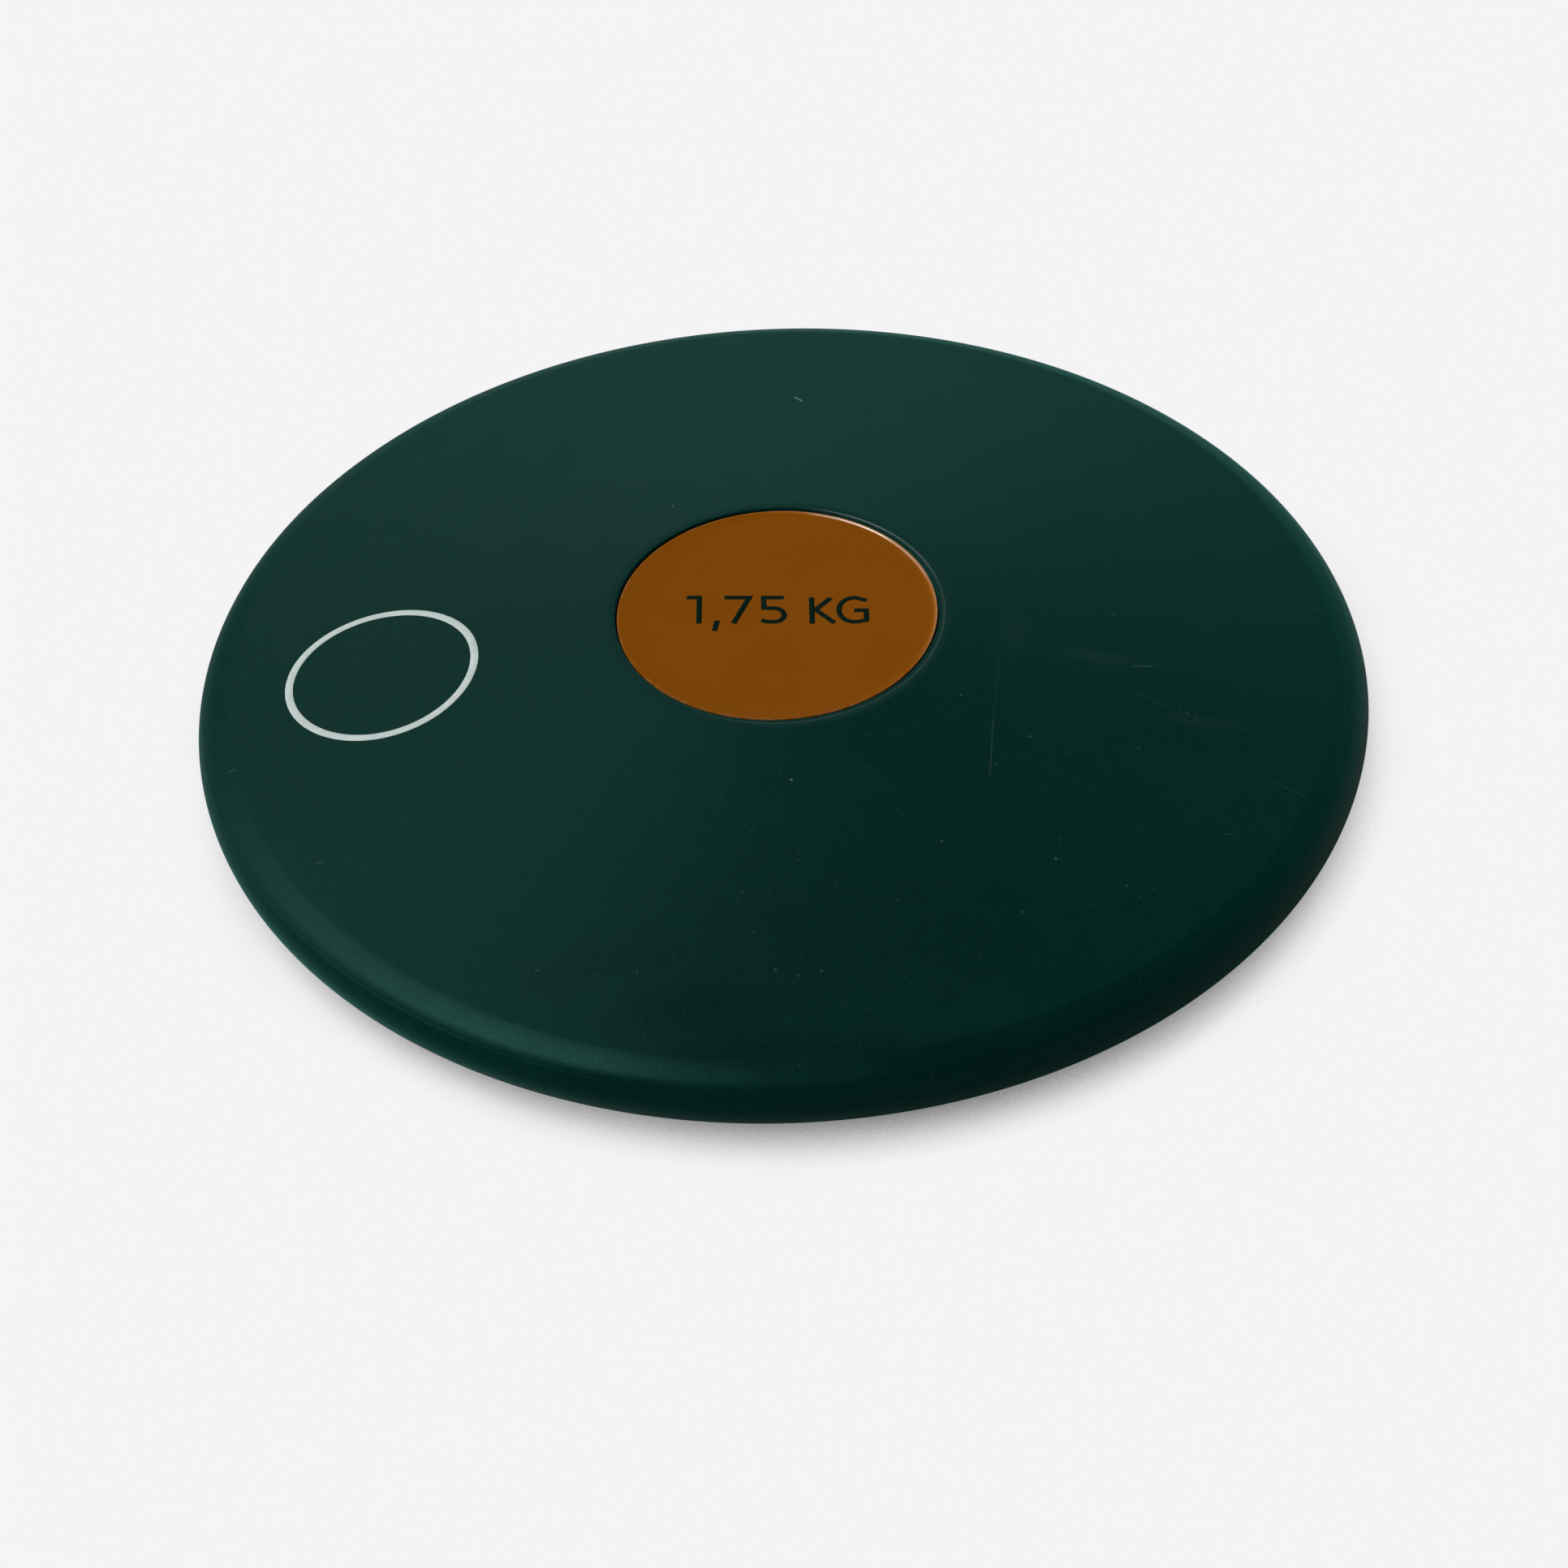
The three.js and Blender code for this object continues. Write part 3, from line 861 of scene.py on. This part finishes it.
def rubber_colour(tree, place, broad, fine, dark):
    """Green, lighter in the clouds and with painted light over the far part of the face, mottled,
    darkened in patches and with painted shade over the near part of the face, and hazed in patches."""
    clouds = calc(tree, "MULTIPLY_ADD", broad, BROAD_CLOUDS, calc(tree, "MULTIPLY", fine, FINE_CLOUDS))
    # Painted light: the far part of the face is lightened towards the lightest green
    painted_light = use(tree, "Soft patch", Position=place, Centre=PAINTED_LIGHT_PLACE, Size=PAINTED_LIGHT_SIZE)
    light = calc(tree, "MULTIPLY_ADD", painted_light, PAINTED_LIGHT_SHARE, clouds)
    colour = tint(tree, light, RUBBER_GREEN, scaled(RUBBER_GREEN, RUBBER_LIGHTEST))
    mottle = ramp(tree, noise(tree, place, MOTTLE_SIZE, 3.0, 0.6), 0.35, 0.65)
    colour = tint(tree, calc(tree, "MULTIPLY", mottle, MOTTLING), colour, RUBBER_DARK)
    # Darkened in the dark patches, among them painted shade over the near face and inside the near
    # shoulder
    colour = tint(tree, calc(tree, "MULTIPLY", dark, DARKENING), colour, RUBBER_DARK)
    haze = joined(tree, "MAXIMUM", patched(tree, place, HAZY_PATCHES))
    return tint(tree, haze, colour, DUST_GREY)


def green_rubber():
    """Moulded rubber: satin, with a fine tooth, dust, placed marks, painted light on the far face and
    painted shade on the near face on its colour, smoother in the dark patches and the painted shade, and
    a lip that is rubbed smooth on one side."""
    made, tree, shader, place = finish_of(
        "green_rubber", Specular_IOR_Level=0.12, Specular_Tint=RUBBER_GLOSS,
        Sheen_Weight=0.144, Sheen_Roughness=0.5, Sheen_Tint=RUBBER_BLOOM, Coat_Roughness=0.2)
    lip = use(tree, "Ring of shine", Position=place, Radius=LIP_RADIUS + LIP_ROUND / 2,
              Reach=LIP_SHINE_REACH, Side=LIP_SIDE_POLISHED, Spread=LIP_SPREAD)
    tree.links.new(calc(tree, "MULTIPLY", lip, LIP_SHINE), shader.inputs["Coat Weight"])
    broad = use(tree, "Clouding", Position=place, Size=50 * MM)
    fine = use(tree, "Clouding", Position=place, Size=8 * MM, Seed=3.0)
    # Dark patches, with painted shade over the near face and a painted dark band inside the near shoulder
    dark = joined(tree, "ADD", patched(tree, place, SHADE_AND_DARK_PATCHES))
    marks = placed_marks(tree, place)
    pale = calc(tree, "MAXIMUM", marks, settled_dust(tree, place))
    colour = tint(tree, pale, rubber_colour(tree, place, broad, fine, dark), DUST_GREY)
    rough = calc(tree, "MULTIPLY_ADD", dark, RUBBER_DARK_ROUGHNESS, RUBBER_ROUGHNESS)
    rough = calc(tree, "MULTIPLY_ADD", broad, RUBBER_CLOUD_ROUGHNESS, rough)
    rough = calc(tree, "MULTIPLY_ADD", fine, RUBBER_CLOUD_ROUGHNESS, rough)
    grain = use(tree, "Moulded grain", Position=place, Size=0.5 * MM, Soft_Share=1.0)
    dress(tree, shader, colour, rough, calc(tree, "SUBTRACT", grain, marks), RUBBER_TOOTH)
    return made


def orange_inlay():
    """Orange rubber: even colour with faint clouding and a finer tooth, worn pale at its rim, and a cove
    with a coat and a painted highlight on one side."""
    made, tree, shader, place = finish_of(
        "orange_inlay", Specular_IOR_Level=0.05, Specular_Tint=INLAY_GLOSS,
        Coat_IOR=1.7, Coat_Roughness=0.15)
    middle = (*POCKET_OFFSET, 0)
    cove = use(tree, "Ring of shine", Position=place, Centre=middle,
               Radius=INLAY_RADIUS - COVE_SHINE_INSET, Reach=COVE_SHINE_REACH,
               Side=COVE_HIGHLIGHT_SIDE, Spread=COVE_SPREAD)
    tree.links.new(cove, shader.inputs["Coat Weight"])
    broad = use(tree, "Clouding", Position=place, Size=15 * MM)
    clouds = calc(tree, "MULTIPLY", broad, INLAY_CLOUDS)
    colour = tint(tree, clouds, INLAY_ORANGE, scaled(INLAY_ORANGE, INLAY_LIGHTEST))
    specks = use(tree, "Dust specks", Position=place, Spacing=4 * MM, Size=0.2 * MM, Share=0.12)
    worn = use(tree, "Edge wear", Position=place, Centre=middle, Radius=INLAY_RADIUS,
               Reach=0.5 * MM, Break_Up=2 * MM)
    pale = calc(tree, "MULTIPLY_ADD", worn, INLAY_WEAR, calc(tree, "MULTIPLY", specks, INLAY_SPECKS))
    colour = tint(tree, pale, colour, INLAY_DUST)
    # Painted highlight: the cove's shiny side is lightened to pale orange
    colour = tint(tree, calc(tree, "MULTIPLY", cove, COVE_HIGHLIGHT_SHARE), colour, INLAY_HIGHLIGHT)
    rough = calc(tree, "MULTIPLY_ADD", broad, INLAY_CLOUD_ROUGHNESS, INLAY_ROUGHNESS)
    grain = use(tree, "Moulded grain", Position=place, Size=0.4 * MM)
    dress(tree, shader, colour, rough, grain, INLAY_TOOTH)
    return made


def mark_ink():
    """Dark green ink: a thin, slightly uneven film."""
    made, tree, shader, place = finish_of(
        "mark_ink", Specular_IOR_Level=0.06, Specular_Tint=RUBBER_GLOSS)
    broad = use(tree, "Clouding", Position=place, Size=3 * MM)
    colour = tint(tree, broad, MARK_GREEN, scaled(MARK_GREEN, MARK_LIGHTEST))
    rough = calc(tree, "MULTIPLY_ADD", broad, MARK_CLOUD_ROUGHNESS, MARK_ROUGHNESS)
    grain = use(tree, "Moulded grain", Position=place, Size=0.4 * MM)
    dress(tree, shader, colour, rough, grain, MARK_TOOTH)
    return made


def oval_ink():
    """White ink: the rubber shows through where the film is thin or rubbed."""
    made, tree, shader, place = finish_of("oval_ink", Specular_IOR_Level=0.12)
    broad = use(tree, "Clouding", Position=place, Size=4 * MM)
    scuffs = use(tree, "Hairline scuffs", Position=place, Size=0.6 * MM, Length=8.0, Share=0.9)
    thin = calc(tree, "MULTIPLY_ADD", broad, OVAL_CLOUDS, calc(tree, "MULTIPLY", scuffs, OVAL_SCUFFS))
    rough = calc(tree, "MULTIPLY_ADD", broad, OVAL_CLOUD_ROUGHNESS, OVAL_ROUGHNESS)
    grain = use(tree, "Moulded grain", Position=place, Size=0.4 * MM)
    dress(tree, shader, tint(tree, thin, OVAL_WHITE, OVAL_THIN), rough, grain, OVAL_TOOTH)
    return made


def turned_steel():
    """Turned steel: rings left by the tool round the axis, which follow the sine of the distance
    from it, grey oxide in patches, and worn edges."""
    made, tree, shader, place = finish_of("turned_steel", Metallic=1.0)
    off_axis = vector(tree, "LENGTH", in_plan(tree, place, (0, 0, 0)), output="Value")
    rings = calc(tree, "SINE", calc(tree, "MULTIPLY", off_axis, 2 * math.pi / TOOL_STEP))
    broad = use(tree, "Clouding", Position=place, Size=12 * MM)
    clouds = calc(tree, "MULTIPLY", broad, STEEL_CLOUDS)
    colour = tint(tree, clouds, STEEL_GREY, scaled(STEEL_GREY, STEEL_DARKEST))
    worn = use(tree, "Edge wear", Position=place, Radius=CORE_WORN_EDGE, Reach=1 * MM, Break_Up=3 * MM)
    rough = calc(tree, "MULTIPLY_ADD", broad, STEEL_CLOUD_ROUGHNESS, STEEL_ROUGHNESS)
    relief = calc(tree, "MULTIPLY_ADD", rings, TOOL_MARKS, broad)
    dress(tree, shader, tint(tree, worn, colour, STEEL_WORN), rough, relief, STEEL_TOOTH)
    return made


# Floor, light and camera

def studio_floor():
    """A wide pale floor. The camera sees it in one even tone, darkened where the discus closes
    off the sky, and from underneath it sees through it. All other rays meet a duller surface,
    for its bounce."""
    made = bpy.data.materials.new("studio_floor")
    made.use_nodes = True
    tree = made.node_tree
    tree.nodes.clear()
    tilt = put(tree, "ShaderNodeCombineXYZ", dict(enumerate(SHADOW_TILT))).outputs[0]
    sky = {"Distance": SHADOW_REACH, "Normal": tilt}
    open_sky = put(tree, "ShaderNodeAmbientOcclusion", sky, samples=SHADOW_RAYS).outputs["AO"]
    tone = tint(tree, ramp(tree, open_sky, *SHADOW_RANGE), SHADOW_TONE, BACKGROUND)
    seen = put(tree, "ShaderNodeEmission", {"Color": tone}).outputs[0]
    bounce = put(tree, "ShaderNodeBsdfDiffuse", {"Color": (FLOOR_BOUNCE,) * 3 + (1,)}).outputs[0]
    clear = put(tree, "ShaderNodeBsdfTransparent").outputs[0]
    by_camera = put(tree, "ShaderNodeLightPath").outputs["Is Camera Ray"]
    underneath = put(tree, "ShaderNodeNewGeometry").outputs["Backfacing"]
    unseen = calc(tree, "MULTIPLY", underneath, by_camera)
    above = put(tree, "ShaderNodeMixShader", {0: by_camera, 1: bounce, 2: seen}).outputs[0]
    surface = put(tree, "ShaderNodeMixShader", {0: unseen, 1: above, 2: clear}).outputs[0]
    out = put(tree, "ShaderNodeOutputMaterial", {"Surface": surface})
    out.is_active_output = True
    mesh = bpy.data.meshes.new("floor")
    corners = np.array([(-1, -1, 0), (1, -1, 0), (1, 1, 0), (-1, 1, 0)]) * FLOOR_HALF_WIDTH
    mesh.from_pydata(corners, [], [(0, 1, 2, 3)])
    mesh.materials.append(made)
    return placed("floor", mesh)


def world_light():
    """A dark room whose light fades upwards from the skyline and comes from one side of it:
    the skyline times e to the minus elevation over its fade, times one plus the cosine of the
    turn from that side. The camera sees it in the tone of the floor."""
    world = bpy.data.worlds.new("studio")
    world.use_nodes = True
    tree = world.node_tree
    towards = put(tree, "ShaderNodeTexCoord").outputs["Generated"]
    rise = calc(tree, "ARCSINE", put(tree, "ShaderNodeSeparateXYZ", {0: towards}).outputs["Z"])
    fade = calc(tree, "EXPONENT", calc(tree, "DIVIDE", rise, -SKYLINE_FADE))
    lean = calc(tree, "ADD", vector(tree, "DOT_PRODUCT", towards, SKYLINE_SIDE, "Value"), 1.0)
    level = calc(tree, "MULTIPLY", calc(tree, "MULTIPLY", fade, lean), SKYLINE)
    room = put(tree, "ShaderNodeCombineColor", {0: level, 1: level, 2: level}).outputs[0]
    rays = put(tree, "ShaderNodeLightPath").outputs["Is Camera Ray"]
    tree.links.new(tint(tree, rays, room, BACKGROUND), tree.nodes["Background"].inputs["Color"])
    bpy.context.scene.world = world


def lamps():
    """Soft lamps far away, each a disc of light seen under its own angle."""
    for name, (azimuth, elevation, width, strength) in LAMPS.items():
        light = bpy.data.lights.new(name, "SUN")
        light.energy = strength
        light.angle = math.radians(width)
        turn, rise = math.radians(azimuth), math.radians(elevation)
        level = math.cos(rise)
        towards = Vector((math.cos(turn) * level, math.sin(turn) * level, math.sin(rise)))
        placed(name, light).rotation_euler = towards.to_track_quat("Z", "Y").to_euler()


def camera():
    """The camera stands at a distance and elevation in front of the middle of the discus,
    rolled a little, and aims a little below it."""
    sin, cos = math.sin(CAMERA_ELEVATION), math.cos(CAMERA_ELEVATION)
    back, level, rise = Vector((0, -cos, sin)), Vector((1, 0, 0)), Vector((0, sin, cos))
    right = level * math.cos(CAMERA_ROLL) - rise * math.sin(CAMERA_ROLL)
    up = level * math.sin(CAMERA_ROLL) + rise * math.cos(CAMERA_ROLL)
    middle = Vector((0, 0, HALF_THICKNESS))
    place = middle + back * CAMERA_DISTANCE
    behind = (place - (middle + right * AIM_RIGHT - up * AIM_DOWN)).normalized()
    right = up.cross(behind).normalized()
    turn = Matrix((right, behind.cross(right), behind)).transposed().to_4x4()
    data = bpy.data.cameras.new("camera")
    data.lens = CAMERA_LENS
    data.clip_start, data.clip_end = CAMERA_NEAR, CAMERA_FAR
    made = placed("camera", data)
    made.matrix_world = Matrix.Translation(place) @ turn
    bpy.context.scene.camera = made


def build():
    """The discus, its pieces attached to their body, and the studio round it."""
    green, orange = green_rubber(), orange_inlay()
    body = moulded_body(green)
    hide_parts("rubber_body")
    upper, lower = inlay("upper_dish", 1, orange), inlay("lower_dish", -1, orange)
    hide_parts("upper_inlay")
    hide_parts("lower_inlay")
    mark = weight_mark(mark_ink())
    oval = printed_oval(oval_ink())
    for made in (body, upper, lower, mark, oval):
        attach(made, "root")
    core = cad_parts["steel_core"]
    core.data.materials.clear()
    core.data.materials.append(turned_steel())
    studio_floor()
    world_light()
    lamps()
    camera()
    bpy.context.scene.view_settings.view_transform = "Standard"


build()
